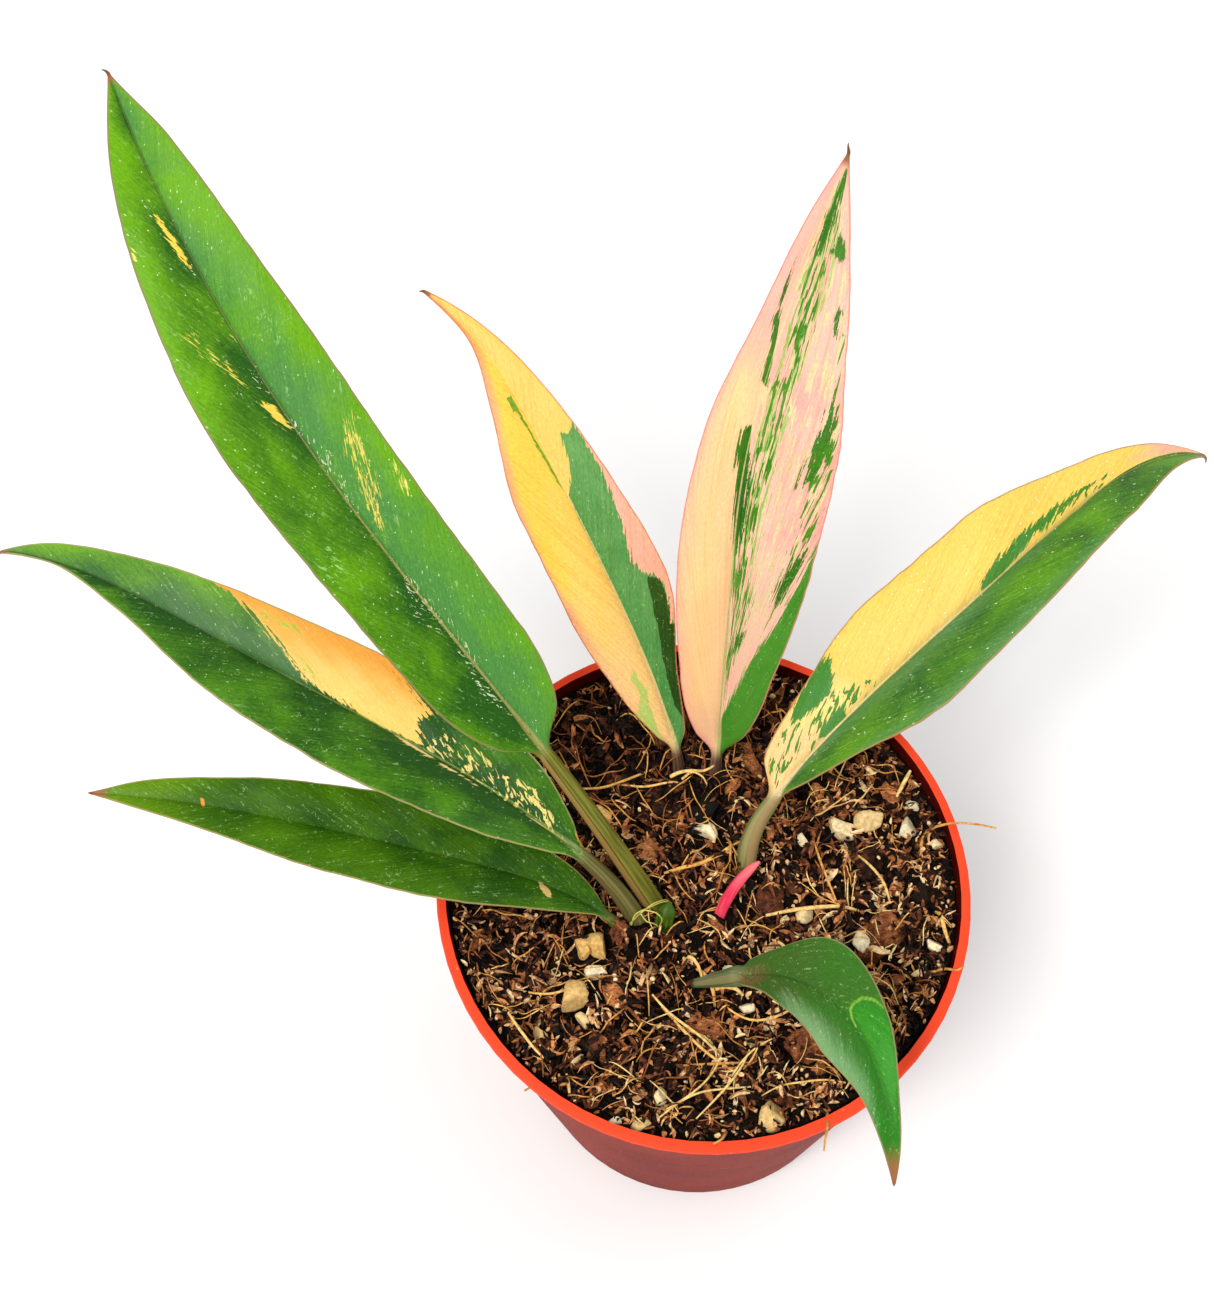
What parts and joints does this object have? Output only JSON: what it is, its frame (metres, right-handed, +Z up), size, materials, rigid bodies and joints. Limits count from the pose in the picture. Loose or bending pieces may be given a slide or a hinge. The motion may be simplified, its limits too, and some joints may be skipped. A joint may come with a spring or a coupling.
{
  "type": "potted philodendron",
  "caption": "Young potted climbing philodendron with long green, yellow and pink variegated leaves, in a tapered plastic nursery pot filled with chunky potting soil.",
  "frame": {"origin": "middle of the pot's underside, on the surface it stands on", "axes": "+Z up, +X to the right and -Y to the front as the plant is seen from the pot's open front side, with the longest leaves to the left and the back"},
  "size_m": [0.275, 0.1936, 0.2267],
  "materials": {
    "pot_plastic": "semi-matte moulded thin plastic, brick red with a brighter orange-red rim",
    "potting_soil": "rough dark bark, coir fibre and white perlite",
    "green_leaf": "soft satin leaf, green with a few pale streaks",
    "variegated_leaf": "soft satin leaf, yellow and peach pink with green streaks",
    "stem": "satin green plant stem",
    "new_shoot": "satin pink new shoot"
  },
  "bodies": {
    "root": {"pot": "pot_plastic", "soil": "potting_soil", "leaf_upper_left": "green_leaf", "leaf_left": "green_leaf", "leaf_lower_left": "green_leaf", "leaf_front": "green_leaf", "leaf_right": "variegated_leaf", "leaf_yellow": "variegated_leaf", "leaf_pink": "variegated_leaf", "crown_stub": "stem", "pink_shoot": "new_shoot"}
  },
  "joints": []
}
